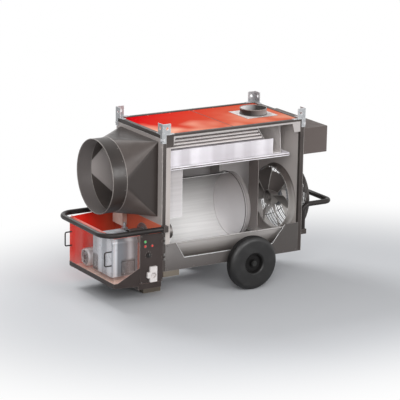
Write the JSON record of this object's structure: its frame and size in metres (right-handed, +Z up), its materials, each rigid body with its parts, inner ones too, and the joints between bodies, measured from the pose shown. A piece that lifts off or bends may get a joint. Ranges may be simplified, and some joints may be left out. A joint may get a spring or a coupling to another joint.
{
  "type": "diesel space heater",
  "caption": "Wheeled indirect-fired diesel air heater, opened on one side, with round outlet, axial fan, burner bay, bumper, handle and lifting lugs.",
  "frame": {"origin": "on the floor, under the middle of the object's box", "axes": "+X towards the fan and rear handle, -X towards the outlet, -Y is the open near side with the control door, +Z up"},
  "size_m": [1.9869, 0.8806, 1.3],
  "materials": {
    "frame_paint": "satin dark grey paint",
    "galvanised": "galvanised",
    "zinc_steel": "zinc plated",
    "tyre_rubber": "matt black rubber",
    "rim_paint": "satin black paint",
    "foot_steel": "grey-brown primer",
    "red_paint": "gloss red paint",
    "orange_paint": "satin orange-red paint",
    "side_paint": "satin grey paint",
    "wall_paint": "satin light grey paint",
    "liner_steel": "light grey liner",
    "duct_paint": "satin warm dark grey",
    "box_paint": "satin brown-grey",
    "heat_steel": "heat-proof steel",
    "white_enamel": "pale enamel",
    "fan_ring_paint": "grey paint",
    "fan_blade_paint": "dark grey paint",
    "guard_wire": "black coated wire",
    "motor_paint": "cast grey paint",
    "tray_paint": "pink-beige paint",
    "clear_red": "clear red sheet",
    "black_plastic": "black",
    "door_paint": "satin dark grey",
    "green_lens": "clear green",
    "red_lens": "clear red",
    "grey_plastic": "light grey",
    "burner_paint": "light grey paint",
    "bare_steel": "bare steel",
    "copper": "copper",
    "cast_alloy": "cast alloy",
    "pale_plastic": "pale beige"
  },
  "bodies": {
    "casing": {"base_rails": "frame_paint", "corner_posts": "frame_paint", "top_rails": "frame_paint", "lifting_lugs": "galvanised", "axle": "zinc_steel", "axle_nuts": "zinc_steel", "foot_beam": "foot_steel", "front_feet": "foot_steel", "front_bumper": "frame_paint", "rear_handle": "frame_paint", "tube_sockets": "frame_paint", "floor_pan": "wall_paint", "front_wall": "wall_paint", "rear_wall": "wall_paint", "far_side_panel": "side_paint", "near_skirt": "side_paint", "top_panels": "red_paint", "flue_plate": "galvanised", "flue_collar": "duct_paint", "lower_shroud": "liner_steel", "combustion_chamber": "heat_steel", "chamber_rear_cap": "heat_steel", "chamber_supports": "liner_steel", "front_smoke_box": "heat_steel", "exchanger_box": "white_enamel", "flat_tubes": "heat_steel", "rear_smoke_box": "heat_steel", "outlet_transition": "duct_paint", "outlet_collar": "duct_paint", "fan_ring": "fan_ring_paint", "fan_guard": "guard_wire", "fan_motor": "motor_paint", "rear_box": "box_paint", "bay_tray": "tray_paint", "bay_sill": "door_paint", "bay_far_side": "red_paint", "bay_back": "orange_paint", "hinge_posts": "zinc_steel", "burner_housing": "burner_paint", "burner_motor": "motor_paint", "blast_tube": "bare_steel", "burner_head": "bare_steel", "fuel_pump": "cast_alloy", "fuel_pipes": "copper", "junction_box": "pale_plastic"},
    "near_wheel": {"near_tyre": "tyre_rubber", "near_rim": "rim_paint"},
    "far_wheel": {"far_tyre": "tyre_rubber", "far_rim": "rim_paint"},
    "fan": {"fan_shaft": "zinc_steel", "fan_impeller": "fan_blade_paint"},
    "cover": {"burner_cover": "clear_red", "cover_handles": "black_plastic"},
    "door": {"control_door": "door_paint", "green_lamp": "green_lens", "red_lamp": "red_lens", "power_inlet": "grey_plastic"},
    "knob": {"selector_knob": "black_plastic"},
    "button": {"reset_button": "red_lens"}
  },
  "joints": [
    {"name": "near_wheel_spin", "type": "hinge", "parent": "casing", "child": "near_wheel", "pos_m": [0.2325, -0.392, 0.2], "axis": [0, 1, 0], "continuous": true},
    {"name": "far_wheel_spin", "type": "hinge", "parent": "casing", "child": "far_wheel", "pos_m": [0.2325, 0.392, 0.2], "axis": [0, 1, 0], "continuous": true},
    {"name": "fan_spin", "type": "hinge", "parent": "casing", "child": "fan", "pos_m": [0.6475, 0, 0.556], "axis": [1, 0, 0], "continuous": true},
    {"name": "cover_pull", "type": "slide", "parent": "casing", "child": "cover", "axis": [-1, 0, 0], "range_m": [0, 0.3]},
    {"name": "door_swing", "type": "hinge", "parent": "casing", "child": "door", "pos_m": [-0.4825, -0.3425, 0.33], "axis": [0, 0, 1], "range_deg": [0, 110]},
    {"name": "knob_turn", "type": "hinge", "parent": "door", "child": "knob", "pos_m": [-0.6095, -0.347, 0.357], "axis": [0, -1, 0], "range_deg": [-60, 60]},
    {"name": "button_press", "type": "slide", "parent": "door", "child": "button", "axis": [0, 1, 0], "range_m": [0, 0.004], "stiffness_N_per_m": 600, "springref_m": -0.001}
  ]
}
